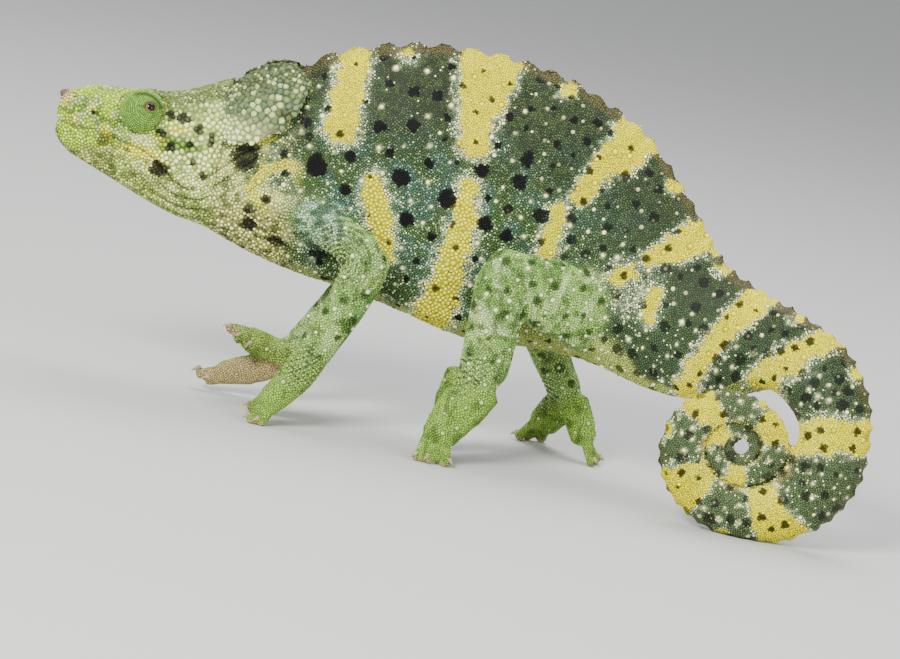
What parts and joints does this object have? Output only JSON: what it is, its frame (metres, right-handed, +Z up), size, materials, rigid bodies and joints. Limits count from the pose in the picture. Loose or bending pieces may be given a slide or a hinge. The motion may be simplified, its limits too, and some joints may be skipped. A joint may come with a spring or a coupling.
{
  "type": "meller's chameleon",
  "caption": "Life-size standing chameleon with a short snout horn, large occipital lobes, a scalloped crest and a coiled tail; stands on three feet and the rim of the coil.",
  "frame": {"origin": "middle of the footprint's bounding box, on the ground", "axes": "-X towards the snout, +Y towards the animal's right side, +Z up"},
  "size_m": [0.3462, 0.1202, 0.1625],
  "materials": {
    "body_hide": "matte beaded hide, dark green with yellow bands, white tubercles and black spots",
    "head_hide": "matte hide of larger plates, yellow-green, greyer on the lobes",
    "limb_hide": "matte beaded hide, fresh green with pale spots, tan soles",
    "horn": "dull ringed horn, pinkish brown",
    "claw": "satin horn, tan",
    "eye": "wet gloss, black pupil in an orange ring"
  },
  "bodies": {
    "root": {"head": "head_hide", "lower_jaw": "head_hide", "horn": "horn", "eye_turret_left": "head_hide", "eye_left": "eye", "occipital_lobe_left": "head_hide", "eye_turret_right": "head_hide", "eye_right": "eye", "occipital_lobe_right": "head_hide", "neck": "body_hide", "trunk": "body_hide", "tail_1": "body_hide", "tail_2": "body_hide", "tail_3": "body_hide", "tail_4": "body_hide", "tail_5": "body_hide", "tail_6": "body_hide", "leg_front_left_upper": "limb_hide", "leg_front_left_lower": "limb_hide", "foot_front_left_inner": "limb_hide", "foot_front_left_outer": "limb_hide", "claw_front_left_inner_1": "claw", "claw_front_left_inner_2": "claw", "claw_front_left_inner_3": "claw", "claw_front_left_outer_1": "claw", "claw_front_left_outer_2": "claw", "leg_front_right_upper": "limb_hide", "leg_front_right_lower": "limb_hide", "foot_front_right_inner": "limb_hide", "foot_front_right_outer": "limb_hide", "claw_front_right_inner_1": "claw", "claw_front_right_inner_2": "claw", "claw_front_right_inner_3": "claw", "claw_front_right_outer_1": "claw", "claw_front_right_outer_2": "claw", "leg_hind_left_upper": "limb_hide", "leg_hind_left_lower": "limb_hide", "foot_hind_left_inner": "limb_hide", "foot_hind_left_outer": "limb_hide", "claw_hind_left_inner_1": "claw", "claw_hind_left_inner_2": "claw", "claw_hind_left_outer_1": "claw", "claw_hind_left_outer_2": "claw", "claw_hind_left_outer_3": "claw", "leg_hind_right_upper": "limb_hide", "leg_hind_right_lower": "limb_hide", "foot_hind_right_inner": "limb_hide", "foot_hind_right_outer": "limb_hide", "claw_hind_right_inner_1": "claw", "claw_hind_right_inner_2": "claw", "claw_hind_right_outer_1": "claw", "claw_hind_right_outer_2": "claw", "claw_hind_right_outer_3": "claw"}
  },
  "joints": []
}
